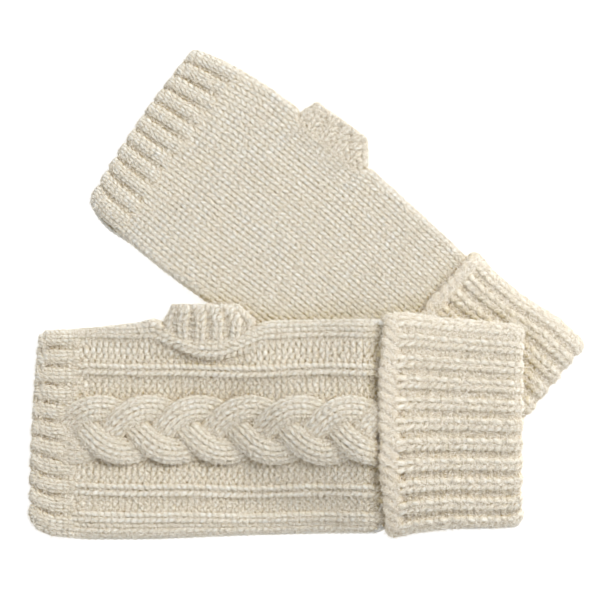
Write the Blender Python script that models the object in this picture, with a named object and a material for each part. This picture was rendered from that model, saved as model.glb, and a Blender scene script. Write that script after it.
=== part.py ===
"""A pair of cable-knit fingerless mittens with turned-up cuffs, laid flat, the left one over the right.

Each mitten is a flattened knitted tube: a back panel and a palm panel that meet at the side seams, a short
thumb tube in the side, and a ribbed cuff that turns up at the wrist fold and lies over the end of the hand.
The left mitten shows its back, with a three-strand plait, and the right one its palm.
"""
import math
from collections import namedtuple

import bmesh
import bpy
import numpy as np

MM = 0.001

# Knitted walls, in millimetres
SEAM_GAP = 0.3
WALL = 2.8
SLIT_HALF = 0.3
OPEN_HALF = 0.55
KNIT_RISE = 0.6
PURL_SINK = -0.5
CUFF_WALL = 3.2
CUFF_CLEARANCE = 0.45
CUFF_KNIT_RISE = 0.8
CUFF_PURL_SINK = -0.6
HAND_HALF = SEAM_GAP / 2 + WALL
CUFF_BORE = HAND_HALF + CUFF_CLEARANCE
CUFF_HALF = CUFF_BORE + CUFF_WALL
NOSE_LENGTH = 5.6
HAND_SHORT_OF_FOLD = 0.5
COVER_FADE = 5.0

# Ribs that show, each four columns of points wide
FINGER_RIBS = 10
CUFF_RIBS = 9
THUMB_RIBS = 5
COLUMNS_PER_RIB = 4
RIB_PROFILE = (0.0, 1.0, 1.0, 0.0)

# Three-strand plait on the back of the left hand
PLAIT_PERIOD = 66.7
PLAIT_PHASE = 0.114
PLAIT_SWING = 10.0
PLAIT_CENTRE = -59.4
PLAIT_START = -100.0
PLAIT_HALF_STRAND = 5.4
PLAIT_DEPTH = 2.8
PLAIT_LIFT = 1.2
PLAIT_WEAVE = 1.4
PLAIT_ROW = 4.3

# Spacing of the plain points that only follow how the left mitten drapes
DRAPE_ROW = 10.0
DRAPE_COLUMNS = 11
PLAIN_COLUMNS = 4

# How the left mitten lies over the right one: plateau heights, and the reach over which it sinks to the floor
REST_ON_HAND = 6.5
REST_ON_CUFF = 14.4
HAND_REACH = 42.0
CUFF_REACH = 60.0
REST_BLEND = 4.0

Section = namedtuple("Section", "name low_x low_y high_x high_y")
Ridge = namedtuple("Ridge", "name low_y high_y rise")
Mitten = namedtuple("Mitten", "name hand cuff thumb ramp bow place turn drapes")

# Outline of each piece, finger end to wrist, as the points where a section meets the low and the high side
LEFT_HAND = (
    Section("finger edge", -121.0, -96.8, -115.9, -19.8),
    Section("finger corner", -118.1, -103.8, -113.7, -16.3),
    Section("finger rib", -111.5, -106.5, -108.9, -15.6),
    Section("rib end", -96.6, -107.8, -94.0, -14.7),
    Section("knuckles", -73.0, -107.8, -73.0, -12.3),
    Section("before thumb", -63.4, -107.6, -63.4, -10.3),
    Section("thumb notch", -62.8, -107.5, -62.8, -18.5),
    Section("thumb notch end", -22.0, -106.0, -22.0, -18.5),
    Section("after thumb", -21.3, -105.9, -21.3, -11.3),
    Section("palm", 6.4, -105.2, 6.4, -11.0),
    Section("by the cuff", 30.5, -104.9, 30.5, -10.9),
)
LEFT_CUFF = (
    Section("cuff edge", 36.3, -105.8, 35.4, -7.7),
    Section("bead", 40.3, -106.7, 38.9, -7.5),
    Section("bead end", 46.9, -104.7, 47.5, -8.1),
    Section("middle", 63.6, -102.7, 63.6, -10.3),
    Section("wrist", 81.2, -102.5, 81.2, -11.7),
    Section("fold start", 90.0, -102.3, 90.0, -12.6),
    Section("fold", 95.6, -98.6, 95.6, -15.4),
)
LEFT_THUMB = (
    Section("root", -22.7, -18.1, -62.3, -18.1),
    Section("base", -21.9, -12.0, -62.7, -12.0),
    Section("tip", -30.0, -4.2, -58.4, -4.2),
)
RIGHT_HAND = (
    Section("finger edge", 7.2, -42.3, 0.2, 34.3),
    Section("finger corner", 8.6, -45.1, 3.5, 37.2),
    Section("finger rib", 14.0, -46.4, 9.0, 39.7),
    Section("rib end", 24.0, -46.9, 20.0, 42.2),
    Section("knuckles", 37.0, -47.4, 37.0, 44.6),
    Section("before thumb", 53.0, -47.4, 53.0, 45.4),
    Section("thumb notch", 53.5, -47.4, 53.5, 42.3),
    Section("thumb notch end", 92.2, -45.2, 92.2, 42.3),
    Section("after thumb", 92.8, -45.1, 92.8, 45.4),
    Section("palm", 116.6, -44.8, 116.6, 44.1),
    Section("wrist", 140.8, -44.5, 140.8, 42.6),
    Section("by the cuff", 148.5, -44.4, 148.5, 41.6),
)
RIGHT_CUFF = (
    Section("cuff edge", 151.6, -47.6, 151.4, 45.1),
    Section("bead", 155.6, -48.2, 155.6, 44.8),
    Section("bead end", 163.6, -48.0, 163.6, 43.8),
    Section("middle", 180.0, -47.8, 180.0, 43.8),
    Section("wrist", 200.0, -48.2, 200.0, 45.9),
    Section("fold start", 210.0, -48.0, 210.0, 45.8),
    Section("fold", 215.6, -44.4, 215.6, 42.0),
)
RIGHT_THUMB = (
    Section("root", 91.6, 42.7, 54.1, 42.7),
    Section("base", 91.9, 45.6, 54.0, 45.4),
    Section("tip", 83.4, 54.2, 56.8, 52.2),
)

# Knit ridges along the back of the left hand, between the purl valleys
BACK_RIDGES = (
    Ridge("little finger side band", -120.0, -95.9, 0.6),
    Ridge("lower ridge", -88.9, -83.2, 0.7),
    Ridge("upper ridge", -35.6, -30.4, 0.7),
    Ridge("thumb side band", -18.9, 0.0, 0.6),
)
BAND_DIP = 8.0
BAND_DIP_AT = -43.0
BAND_DIP_REACH = 27.0
RIDGE_SHOULDER = 1.3

LEFT = Mitten("left", LEFT_HAND, LEFT_CUFF, LEFT_THUMB, (5.0, 30.5), 4.2, (-0.6, 0.75), 0.0, True)
RIGHT = Mitten("right", RIGHT_HAND, RIGHT_CUFF, RIGHT_THUMB, (124.0, 148.5), 1.0, (-73.0, 80.35), -39.0, False)

CREAM = (0.72, 0.66, 0.54)
CREAM_SHADE = (0.66, 0.60, 0.48)


def ease(value):
    """0 to 1 with level ends."""
    value = np.clip(value, 0.0, 1.0)
    return value * value * (3.0 - 2.0 * value)


def bell(distance, reach):
    """1 at and inside the edge, sinking to 0 at the reach."""
    share = np.clip(distance / reach, 0.0, 1.0)
    return 0.5 + 0.5 * np.cos(math.pi * share)


def outside(x, y, low, high):
    """Distance from a point to an upright rectangle, 0 inside it."""
    aside = np.maximum(np.maximum(low[0] - x, x - high[0]), 0.0)
    beyond = np.maximum(np.maximum(low[1] - y, y - high[1]), 0.0)
    return np.hypot(aside, beyond)


def rest_height(x, y):
    """Height of the left mitten's underside: it lies on the right one, and sinks to the floor beside it."""
    turn = math.radians(RIGHT.turn)
    away_x = x + LEFT.place[0] - RIGHT.place[0]
    away_y = y + LEFT.place[1] - RIGHT.place[1]
    along = away_x * math.cos(turn) + away_y * math.sin(turn)
    across = away_y * math.cos(turn) - away_x * math.sin(turn)
    hand, cuff = RIGHT.hand, RIGHT.cuff
    on_hand = outside(along, across, (hand[0].low_x, hand[4].low_y), (cuff[0].low_x, hand[4].high_y))
    on_cuff = outside(along, across, (cuff[0].low_x, cuff[1].low_y), (cuff[-1].low_x, cuff[1].high_y))
    hand_part = (REST_ON_HAND * bell(on_hand, HAND_REACH)) ** REST_BLEND
    cuff_part = (REST_ON_CUFF * bell(on_cuff, CUFF_REACH)) ** REST_BLEND
    return (hand_part + cuff_part) ** (1.0 / REST_BLEND)


def mid_height(mitten, x, y):
    """Height of the slit between the panels: higher at the cuff, whose turned-up layer lies under the hand."""
    start, end = mitten.ramp
    height = HAND_HALF + (CUFF_HALF - HAND_HALF) * ease((x - start) / (end - start))
    return height + rest_height(x, y) if mitten.drapes else height


def station_of(sections, x):
    """Place along a table of sections, as a row number with a fraction, of a distance along the low side."""
    return np.interp(x, [s.low_x for s in sections], range(len(sections)))


def edges_at(sections, stations):
    """Low and high side points at the stations, as two arrays of x and y."""
    rows = range(len(sections))
    low = np.stack([np.interp(stations, rows, [s.low_x for s in sections]),
                    np.interp(stations, rows, [s.low_y for s in sections])], axis=-1)
    high = np.stack([np.interp(stations, rows, [s.high_x for s in sections]),
                     np.interp(stations, rows, [s.high_y for s in sections])], axis=-1)
    return low, high


def inset(section, by):
    """The same section with both sides moved in."""
    return section._replace(low_y=section.low_y + by, high_y=section.high_y - by)


def plan(low, high, radius, columns, side_in=0.0, steps=(0.0, 32.0, 62.0)):
    """Points across each section, closer at the rounded sides, and how far round each side they are."""
    span = high - low
    width = np.linalg.norm(span, axis=-1)[:, None]
    turns = np.radians(steps)
    near = side_in + radius * (1.0 - np.cos(turns))
    rise = np.sin(turns)
    share = np.linspace(0.0, 1.0, columns + 1)[None, :]
    middle = side_in + radius + share * (width - 2.0 * (side_in + radius))
    count = len(low)
    near = np.repeat(near[None, :], count, axis=0)
    distance = np.concatenate([near, middle, width - near[:, ::-1]], axis=1)
    spread = np.concatenate([rise, np.ones(columns + 1), rise[::-1]])
    points = low[:, None, :] + span[:, None, :] * (distance / width)[:, :, None]
    return points[..., 0], points[..., 1], spread


def rib_pattern(columns, knit, purl):
    """Height change of each interior column of a ribbed piece, with none at the sides."""
    steps = [RIB_PROFILE[i % COLUMNS_PER_RIB] for i in range(columns + 1)]
    return np.concatenate([np.zeros(3), [purl + (knit - purl) * s for s in steps], np.zeros(3)])


def ridge_relief(x, y):
    """Height change of the back of the left hand between the plait and the sides."""
    dip = BAND_DIP * bell(np.abs(x - BAND_DIP_AT), BAND_DIP_REACH)
    relief = np.full(x.shape, PURL_SINK)
    for ridge in BACK_RIDGES:
        low = ridge.low_y - (dip if ridge.name == "thumb side band" else 0.0)
        inside = ease(0.5 + (y - low) / RIDGE_SHOULDER) * ease(0.5 + (ridge.high_y - y) / RIDGE_SHOULDER)
        relief = relief + (ridge.rise - PURL_SINK) * inside
    return relief


def plait_relief(x, y):
    """Height change of the three plaited strands, each over and under its neighbours in turn."""
    start = ease((x - PLAIT_START) / PLAIT_PERIOD * 4.0)
    height = np.full(x.shape, PURL_SINK)
    for strand in range(3):
        phase = 2.0 * math.pi * ((x - PLAIT_START) / PLAIT_PERIOD + strand / 3.0 + PLAIT_PHASE)
        centre = PLAIT_CENTRE + PLAIT_SWING * np.sin(phase)
        slope = PLAIT_SWING * np.cos(phase) * 2.0 * math.pi / PLAIT_PERIOD
        reach = PLAIT_HALF_STRAND * np.sqrt(1.0 + slope * slope)
        off = np.clip(np.abs(y - centre) / reach, 0.0, 1.0)
        dome = PLAIT_DEPTH * np.sqrt(1.0 - off * off) + PLAIT_LIFT + PLAIT_WEAVE * np.sin(2.0 * phase)
        height = np.maximum(height, np.where(off < 1.0, start * dome, PURL_SINK))
    return height


def face_grid(first, rows, columns):
    """Faces of a grid of points numbered row by row from first."""
    faces = []
    for i in range(rows - 1):
        for j in range(columns - 1):
            corner = first + i * columns + j
            faces.append((corner, corner + 1, corner + columns + 1, corner + columns))
    return faces


def lengths(points):
    """Share of a line's length at each of its points."""
    steps = np.linalg.norm(np.diff(points, axis=0), axis=1)
    total = np.concatenate([[0.0], np.cumsum(steps)])
    return total / total[-1]


def strip_between(points, one, other):
    """Triangles between two lines of point numbers that run side by side with unlike spacing."""
    share_one = lengths(points[one])
    share_other = lengths(points[other])
    faces = []
    i = j = 0
    while i < len(one) - 1 or j < len(other) - 1:
        step_one = j == len(other) - 1 or (i < len(one) - 1 and share_one[i + 1] <= share_other[j + 1])
        if step_one:
            faces.append((one[i], one[i + 1], other[j]))
            i += 1
        else:
            faces.append((one[i], other[j + 1], other[j]))
            j += 1
    return faces


def wall_between(outer, inner):
    """Points and faces of a wall with a fine outer grid and a coarse inner one, joined along their rims."""
    points = np.concatenate([outer.reshape(-1, 3), inner.reshape(-1, 3)])
    rows, columns = outer.shape[:2]
    coarse_rows, coarse_columns = inner.shape[:2]
    first = rows * columns
    faces = face_grid(0, rows, columns) + face_grid(first, coarse_rows, coarse_columns)
    fine = np.arange(first).reshape(rows, columns)
    coarse = first + np.arange(coarse_rows * coarse_columns).reshape(coarse_rows, coarse_columns)
    for one, other in ((fine[0], coarse[0]), (fine[-1], coarse[-1]),
                       (fine[:, 0], coarse[:, 0]), (fine[:, -1], coarse[:, -1])):
        faces += strip_between(points, list(one), list(other))
    return points, faces


def hand_sections(mitten):
    """The hand's own outline, then its narrower end inside the turned-up cuff."""
    under = [inset(s, CUFF_WALL + CUFF_CLEARANCE) for s in mitten.cuff[:-1]]
    last = under[-1]
    under[-1] = last._replace(low_x=last.low_x - HAND_SHORT_OF_FOLD, high_x=last.high_x - HAND_SHORT_OF_FOLD)
    return tuple(mitten.hand) + tuple(under)


def merged(*groups):
    """All the stations once, in order, with near twins dropped."""
    kept = []
    for station in sorted(float(s) for group in groups for s in group):
        if not kept or station - kept[-1] > 0.02:
            kept.append(station)
    return np.array(kept)


def spaced(sections, start, end, step):
    """Stations at even real distances along the low side."""
    count = max(1, round((end - start) / step))
    return station_of(sections, np.linspace(start, end, count + 1))


def hand_stations(mitten, sections, shows):
    """Rows along a hand panel: its own sections, and more where it drapes or carries the plait."""
    own = range(len(sections))
    end = sections[-1].low_x
    ends = (0.0, 0.25, 0.6)
    if mitten.drapes and shows:
        by_cuff = mitten.hand[-1].low_x
        return merged(ends, own, spaced(sections, PLAIT_START, by_cuff, PLAIT_ROW),
                      spaced(sections, by_cuff, end, DRAPE_ROW))
    if mitten.drapes:
        return merged(ends, own, spaced(sections, sections[3].low_x, end, DRAPE_ROW))
    return merged(ends, own)


def hand_panel(mitten, side, shows):
    """One knitted panel of the hand. Side is 1 for the upper one and -1 for the one underneath."""
    sections = hand_sections(mitten)
    stations = hand_stations(mitten, sections, shows)
    low, high = edges_at(sections, stations)
    plain = DRAPE_COLUMNS if mitten.drapes else PLAIN_COLUMNS
    columns = FINGER_RIBS * COLUMNS_PER_RIB if shows else plain
    x, y, spread = plan(low, high, HAND_HALF, columns)
    end_round = np.interp(stations, (0.0, 0.25, 0.6), (0.45, 0.8, 1.0))[:, None]
    thick = np.full(x.shape, WALL)
    if shows:
        ribbed = rib_pattern(columns, KNIT_RISE, PURL_SINK)[None, :]
        past_rib = ease((stations - 2.0) / 1.0)[:, None]
        covered = ease(1.0 + (x - mitten.ramp[1]) / COVER_FADE)
        beyond = ridge_relief(x, y) + plait_relief(x, y) - PURL_SINK if mitten.drapes else np.zeros(x.shape)
        thick = thick + ((1.0 - past_rib) * ribbed + past_rib * beyond) * (1.0 - covered) * (spread > 0.99)
    height = SEAM_GAP / 2 + thick * spread[None, :] * end_round
    outer = np.stack([x, y, mid_height(mitten, x, y) + side * height], axis=-1)

    draped = spaced(sections, sections[3].low_x, sections[-1].low_x, DRAPE_ROW) if mitten.drapes else []
    inner_stations = merged(range(len(sections)), draped)
    inner_low, inner_high = edges_at(sections, inner_stations)
    x, y, spread = plan(inner_low, inner_high, SEAM_GAP, plain, side_in=WALL, steps=(0.0,))
    slit = np.where(spread > 0.5, SLIT_HALF, SEAM_GAP / 2)[None, :] * np.ones(x.shape)
    slit[0, 1:-1] = OPEN_HALF
    inner = np.stack([x, y, mid_height(mitten, x, y) + side * slit], axis=-1)
    return wall_between(outer, inner)


def bowed(mitten, x, y, stations, low, high):
    """The cuff's knitted edge bows out between its corners."""
    share = (y - low[:, None, 1]) / (high - low)[:, None, 1]
    fade = np.clip(1.0 - stations / 2.0, 0.0, 1.0)[:, None]
    return x - mitten.bow * 4.0 * share * (1.0 - share) * fade


def cuff_panel(mitten, side, shows):
    """Half of the turned-up cuff: the layer that lies over the hand, and its fold at the wrist."""
    sections = mitten.cuff
    fold = len(sections) - 2
    long_rows = spaced(sections, sections[2].low_x, sections[fold].low_x, DRAPE_ROW) if mitten.drapes else []
    stations = merged((0.0, 0.15, 0.45, 1.0, 1.55, 2.0), range(fold + 1), long_rows)
    turns = np.radians((30.0, 60.0, 90.0))
    nose = fold + (1.0 - np.cos(turns))
    along = np.concatenate([stations, nose])
    out = np.concatenate([np.zeros(len(stations)), np.sin(turns)])
    low, high = edges_at(sections, along)
    low[:, 0] = np.where(out > 0.0, sections[fold].low_x, low[:, 0])
    high[:, 0] = np.where(out > 0.0, sections[fold].high_x, high[:, 0])
    plain = DRAPE_COLUMNS if mitten.drapes else PLAIN_COLUMNS
    columns = CUFF_RIBS * COLUMNS_PER_RIB if shows else plain
    x, y, spread = plan(low, high, CUFF_HALF, columns)
    x = bowed(mitten, x, y, along, low, high)
    rise = np.zeros(x.shape)
    if shows:
        ribbed = rib_pattern(columns, CUFF_KNIT_RISE, CUFF_PURL_SINK)[None, :]
        past_bead = ease(along - 1.0)[:, None]
        rise = ((1.0 - past_bead) * CUFF_KNIT_RISE + past_bead * ribbed) * (spread > 0.99)
    fall = np.sqrt(1.0 - np.minimum(out, 1.0) ** 2)[:, None]
    end_round = np.interp(along, (0.0, 0.15, 0.45), (0.55, 0.85, 1.0))[:, None]
    tall = CUFF_BORE + (CUFF_WALL + rise) * end_round - SEAM_GAP / 2
    outer_z = mid_height(mitten, x, y) + side * (SEAM_GAP / 2 + tall * spread[None, :] * fall)
    x = x + (NOSE_LENGTH + rise) * out[:, None]
    outer = np.stack([x, y, outer_z], axis=-1)

    inner_stations = np.concatenate([merged(range(fold + 1), long_rows), [fold, fold]])
    inner_low, inner_high = edges_at(sections, inner_stations)
    x, y, spread = plan(inner_low, inner_high, CUFF_BORE, plain, side_in=CUFF_WALL)
    x = bowed(mitten, x, y, inner_stations, inner_low, inner_high)
    bore = SEAM_GAP / 2 + (CUFF_BORE - SEAM_GAP / 2) * spread[None, :] * np.ones(x.shape)
    for row, (shift, share) in ((-2, (0.3, 0.5)), (-1, (0.6, 0.0))):
        x[row] += shift
        bore[row] = SEAM_GAP / 2 + (bore[row] - SEAM_GAP / 2) * share
    inner = np.stack([x, y, mid_height(mitten, x, y) + side * bore], axis=-1)
    return wall_between(outer, inner)


def thumb_tube(mitten):
    """The short ribbed thumb: a flattened tube from its root in the side of the hand to its open tip."""
    stations = np.array((0.0, 1.0, 1.9, 2.0))
    end_round = np.array((1.0, 1.0, 1.0, 0.6))[:, None]
    low, high = edges_at(mitten.thumb, stations)
    columns = THUMB_RIBS * COLUMNS_PER_RIB
    x, y, spread = plan(low, high, HAND_HALF, columns)
    ribbed = rib_pattern(columns, KNIT_RISE, PURL_SINK)[None, :] * (spread > 0.99)
    top = spread * (HAND_HALF + ribbed) * end_round
    base = -spread[None, :] * HAND_HALF * end_round
    ring_x = np.concatenate([x, x[:, -2:0:-1]], axis=1)
    ring_y = np.concatenate([y, y[:, -2:0:-1]], axis=1)
    ring_z = np.concatenate([top, base[:, -2:0:-1]], axis=1)
    inner_x, inner_y, spread = plan(low, high, OPEN_HALF, columns, side_in=WALL)
    bore = OPEN_HALF * spread[None, :] * np.ones(x.shape)
    bore_x = np.concatenate([inner_x, inner_x[:, -2:0:-1]], axis=1)
    bore_y = np.concatenate([inner_y, inner_y[:, -2:0:-1]], axis=1)
    bore_z = np.concatenate([bore, -bore[:, -2:0:-1]], axis=1)
    outer = np.stack([ring_x, ring_y, mid_height(mitten, ring_x, ring_y) + ring_z], axis=-1)
    inner = np.stack([bore_x, bore_y, mid_height(mitten, bore_x, bore_y) + bore_z], axis=-1)
    rows, around = outer.shape[:2]
    points = np.concatenate([outer.reshape(-1, 3), inner.reshape(-1, 3)])
    faces = []
    for j in range(around):
        k = (j + 1) % around
        for i in range(rows - 1):
            for first in (0, rows * around):
                a, b = first + i * around, first + (i + 1) * around
                faces.append((a + j, a + k, b + k, b + j))
        for i in (0, rows - 1):
            a, b = i * around, (rows + i) * around
            faces.append((a + j, a + k, b + k, b + j))
    return points, faces


def wool(name, colour):
    """Matt cream wool."""
    material = bpy.data.materials.new(name)
    material.use_nodes = True
    shader = material.node_tree.nodes["Principled BSDF"]
    shader.inputs["Base Color"].default_value = (*colour, 1.0)
    shader.inputs["Roughness"].default_value = 0.9
    shader.inputs["Metallic"].default_value = 0.0
    return material


def add_piece(collection, parent, name, shape, colour):
    """One knitted piece as a closed body under its mitten's empty."""
    points, faces = shape
    mesh = bpy.data.meshes.new(name)
    mesh.from_pydata([tuple(p * MM) for p in points], [], faces)
    body = bmesh.new()
    body.from_mesh(mesh)
    bmesh.ops.recalc_face_normals(body, faces=body.faces)
    if body.calc_volume(signed=True) < 0.0:
        bmesh.ops.reverse_faces(body, faces=body.faces)
    body.to_mesh(mesh)
    body.free()
    mesh.shade_smooth()
    mesh.set_sharp_from_angle(angle=math.radians(50.0))
    mesh.materials.append(wool(name + " wool", colour))
    piece = bpy.data.objects.new(name, mesh)
    collection.objects.link(piece)
    piece.parent = parent
    return piece


def add_mitten(collection, mitten, upper, under):
    """The five pieces of one mitten. Upper names the panel that shows, under the one it lies on."""
    empty = bpy.data.objects.new(mitten.name + "_mitten", None)
    empty.location = (mitten.place[0] * MM, mitten.place[1] * MM, 0.0)
    empty.rotation_euler = (0.0, 0.0, math.radians(mitten.turn))
    collection.objects.link(empty)
    for panel, side in ((upper, 1), (under, -1)):
        shows = side > 0
        colour = CREAM if shows else CREAM_SHADE
        add_piece(collection, empty, f"{mitten.name}_{panel}", hand_panel(mitten, side, shows), colour)
        add_piece(collection, empty, f"{mitten.name}_cuff_{panel}", cuff_panel(mitten, side, shows), colour)
    add_piece(collection, empty, f"{mitten.name}_thumb", thumb_tube(mitten), CREAM)


def main():
    for old in list(bpy.data.objects):
        bpy.data.objects.remove(old)
    collection = bpy.data.collections.new("pair_of_mittens")
    bpy.context.scene.collection.children.link(collection)
    add_mitten(collection, LEFT, "back", "palm")
    add_mitten(collection, RIGHT, "palm", "back")


main()
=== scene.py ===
"""Looks of a pair of fingerless mittens in cream wool: each stitch that shows is a loop of yarn.

Each knitted piece is a thin shell on its solid's form, with rows of yarn worked over it by Geometry Nodes.
Lengths are millimetres in the frame of each mitten until a mesh is made.
"""
import math
from collections import namedtuple

import bmesh
import bpy
import numpy as np
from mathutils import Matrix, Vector


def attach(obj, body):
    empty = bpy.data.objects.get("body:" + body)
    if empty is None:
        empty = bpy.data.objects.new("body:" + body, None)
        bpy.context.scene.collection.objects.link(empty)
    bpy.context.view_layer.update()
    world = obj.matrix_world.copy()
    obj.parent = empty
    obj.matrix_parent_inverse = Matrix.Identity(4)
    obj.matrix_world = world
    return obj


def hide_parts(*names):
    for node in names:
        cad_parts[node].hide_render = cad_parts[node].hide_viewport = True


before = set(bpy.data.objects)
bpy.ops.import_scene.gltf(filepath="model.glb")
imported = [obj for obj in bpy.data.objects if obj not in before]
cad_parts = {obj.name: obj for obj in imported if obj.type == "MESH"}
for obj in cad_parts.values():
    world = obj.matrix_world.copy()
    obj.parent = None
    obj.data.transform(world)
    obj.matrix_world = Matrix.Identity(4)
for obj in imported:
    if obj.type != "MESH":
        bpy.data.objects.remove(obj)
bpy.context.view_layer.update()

MM = 0.001
SEED = 7
FLOOR_TOUCH = 0.0001

# Walls, as in the solids
SEAM_GAP = 0.3
WALL = 2.8
CUFF_WALL = 3.2
CUFF_CLEARANCE = 0.45
HAND_HALF = SEAM_GAP / 2 + WALL
CUFF_BORE = HAND_HALF + CUFF_CLEARANCE
CUFF_HALF = CUFF_BORE + CUFF_WALL
NOSE_LENGTH = 5.6

# How the pieces depart from plain flat tubes
OPENING_ROLL = 1.7
ROLL_MOST = 2.6
ROLL_LEAST_RADIUS = 0.4
FINGER_BOW_REACH = 30.0
BACK_PEEK = 1.8
BACK_PEEK_AT = 16.0
BACK_PEEK_REACH = 18.0
CUFF_PINCH_REACH = 13.0
CUFF_PILLOW = 1.8
CUFF_SLOPE = 2.0
CUFF_BOW_REACH = 10.0
CUFF_BULGE = 1.2
PLAIT_BULGE = 0.8
BULGE_REACH = 26.0
FOLD_TAPER_LOW = 0.11
FOLD_TAPER_HIGH = 0.045

# Yarn and gauge: double-knitting wool, 23 stitches and 36 rows to 100 mm. A loop leans by wales, is tall in courses
# and deep in mm, and each stitch varies a little.
YARN_RADIUS = 1.5
RIB_YARN_RADIUS = 1.2
CUFF_YARN_RADIUS = 1.75
COURSE = 2.76
CUFF_COURSE = 2.93
LOOP_LEAN = 0.19
LOOP_TALL = 1.62
LOOP_DEEP = 0.45
PURL_TALL = 1.88
PURL_DEEPER = 1.7
CUFF_LOOP_LEAN = 0.21
CUFF_LOOP_DEEP = 0.38
CUFF_TUCK = 0.2
SCALLOP_REACH = 7.0
LEAN_VARIES = 0.02
SHIFT_VARIES = 0.06
TALL_VARIES = 0.05
LIFT_VARIES = 0.07

# Points to a loop and sides round a yarn, above and on the undersides
LOOP_POINTS = 12
YARN_SIDES = 5
LOW_LOOP_POINTS = 8
LOW_YARN_SIDES = 4

# Loose fibres, 0.15 mm wide: coarser and fewer than real wool has, so that they show
FIBRE_LENGTH = 4.2
FIBRE_WIDTH = 0.15
FIBRE_RISE = 0.35
FIBRES_PER_SQUARE_MM = 0.95
CUFF_FIBRES_PER_SQUARE_MM = 1.25
EDGE_FIBRES_PER_SQUARE_MM = 2.2
REAR_FIBRES_PER_SQUARE_MM = 0.7

# Shells under the yarn: how far below the fabric's mean, and how thick
SHELL_UNDER = -1.25
SHELL_UNDER_RIB = -1.8
SHELL_THICK = 0.7
GRID_STEPS_PER_WALE = 2

# Wales across the pieces, and how square the steps between them are
FINGER_RIDGES = 11
PALM_WALES = 22
CUFF_WALES = 21
THUMB_WALES = 11
NOTCH_WALES = 4
SIDE_WALE = 0.6
KIND_SHOULDER = 0.12
RIB_SHOULDER = 0.46
PLAIN_SHOULDER = 0.28
BAND_LEAD = 9.0
RIB_FADE = 10.0
RIDGE_FADE = 11.0
ZONE_FADE = 14.0
ZONE_WAVES = ((0.5, 21.0, 0.0), (0.3, 9.0, 1.0))
THUMB_KNIT_SHARE = 0.56
CUFF_RISE = 0.4

# Rope at the cuff's turned edge
ROPE_IN = 3.6
ROPE_LIFT = -2.6
ROPE_TURN = 9.2
ROPE_PLIES = 2
ROPE_POINT_STEP = 0.7
ROPE_VARIES = 0.35
ROPE_SIDES = 8

# How the left mitten lies over the right one
REST_ON_HAND = 6.5
REST_ON_CUFF = 14.4
HAND_REACH = 42.0
CUFF_REACH = 60.0
REST_BLEND = 4.0
REST_LOW = 1.35
REST_SOFT = 2.6

# Three-strand plait
PLAIT_PERIOD = 66.7
PLAIT_PHASE = 0.114
PLAIT_SWING = 9.4
PLAIT_CENTRE = -59.4
PLAIT_START = -100.0
PLAIT_RISES = 18.0
PLAIT_END = 36.0
PLAIT_RISE_REACH = 30.0
PLAIT_SINK_REACH = 7.0
PLAIT_LAPS_UNDER_CUFF = 3.0
PLAIT_DWELL = 0.75
STRAND_HALF = 5.3
STRAND_DEPTH = 2.3
STRAND_LIFT = 0.3
STRAND_WEAVE = 1.3
STRAND_BURIED = 2.0
STRAND_LEAN = 0.7
STRAND_WIDENS = 0.3
STRAND_WALES = 3
STRAND_REACH_DEGREES = 84.0
STRAND_YARN_SINKS = 0.75
STRAND_CORE_LIFT = -1.4

# Wool: the turn of its plies in mm, then streaks and grain to the metre, coarser than real wool's so that they show
PLY_TURN = 14.0
STREAKS_PER_METRE = 420.0
STREAK_SCALE = 1.9
FIBRE_GRAIN = 1900.0
GROUND_GRAIN = 300.0
# Painted shade of the hollows, found by ambient occlusion: how far it looks in metres, the openness from least to
# most, and the colour of the shade
PAINTED_HOLLOW_SHADES = ((0.003, 0.1, 0.65, "#DABE66"), (0.014, 0.3, 0.84, "#C8B26C"))

# Studio, in metres and watts
FLOOR_HALF = 3.0
FLOOR_DROP = 0.0002
FLOOR_GREY = 0.2
FLOOR_GLOW = 0.92
KEY_PLACE = (0.95, 0.80, 1.38)
KEY_SIZE = 1.2
KEY_POWER = 36.5
SURROUND_STRENGTH = 0.65
VIEW_WIDTH = 0.264
VIEW_CENTRE = (-0.00302, -0.00145)
CAMERA_HEIGHT = 3.0
SHARP_HEIGHT = 0.012

Row = namedtuple("Row", "u low_x low_y high_x high_y")
Zone = namedtuple("Zone", "kind low_edge high_edge rises")
Band = namedtuple("Band", "start kinds rises shoulder")
Rib = namedtuple("Rib", "rise sink knit_share scallop length")
CuffRib = namedtuple("CuffRib", "sinks knit_shares rope_wide rope_deep rope_radius")
Form = namedtuple("Form", "name hand cuff thumb notch ramp bow finger_bow pinch rib cuff_rib thumb_rib"
                  " place turn drapes")


def square(u, low_y, high_y):
    """A row straight across."""
    return Row(u, u, low_y, u, high_y)


LEFT_HAND = (
    Row(-121.0, -121.0, -96.8, -116.1, -17.9),
    Row(-118.0, -118.1, -103.8, -113.9, -15.9),
    Row(-111.0, -111.5, -106.5, -108.9, -15.6),
    Row(-95.5, -96.6, -107.8, -94.0, -14.7),
    square(-73.0, -107.8, -12.3),
    square(-67.5, -107.7, -10.5),
    square(-64.5, -107.6, -11.2),
    square(-61.0, -107.5, -14.8),
    square(-56.5, -107.3, -17.6),
    square(-50.0, -107.1, -18.9),
    square(-35.0, -106.4, -18.9),
    square(-27.5, -106.1, -16.9),
    square(-22.0, -105.9, -13.2),
    square(-16.0, -105.8, -11.4),
    square(6.4, -105.2, -11.0),
    square(30.5, -104.9, -10.9),
    square(36.0, -102.1, -11.3),
    square(47.0, -101.0, -11.8),
    square(63.6, -99.0, -14.0),
    square(89.4, -98.6, -16.3),
)
LEFT_CUFF = (
    Row(36.0, 36.3, -105.8, 35.4, -7.7),
    Row(40.0, 40.3, -106.7, 38.9, -7.5),
    Row(47.0, 46.9, -104.7, 47.5, -8.1),
    square(63.6, -102.7, -10.3),
    square(81.2, -102.5, -11.7),
    square(90.0, -102.3, -12.6),
)
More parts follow.
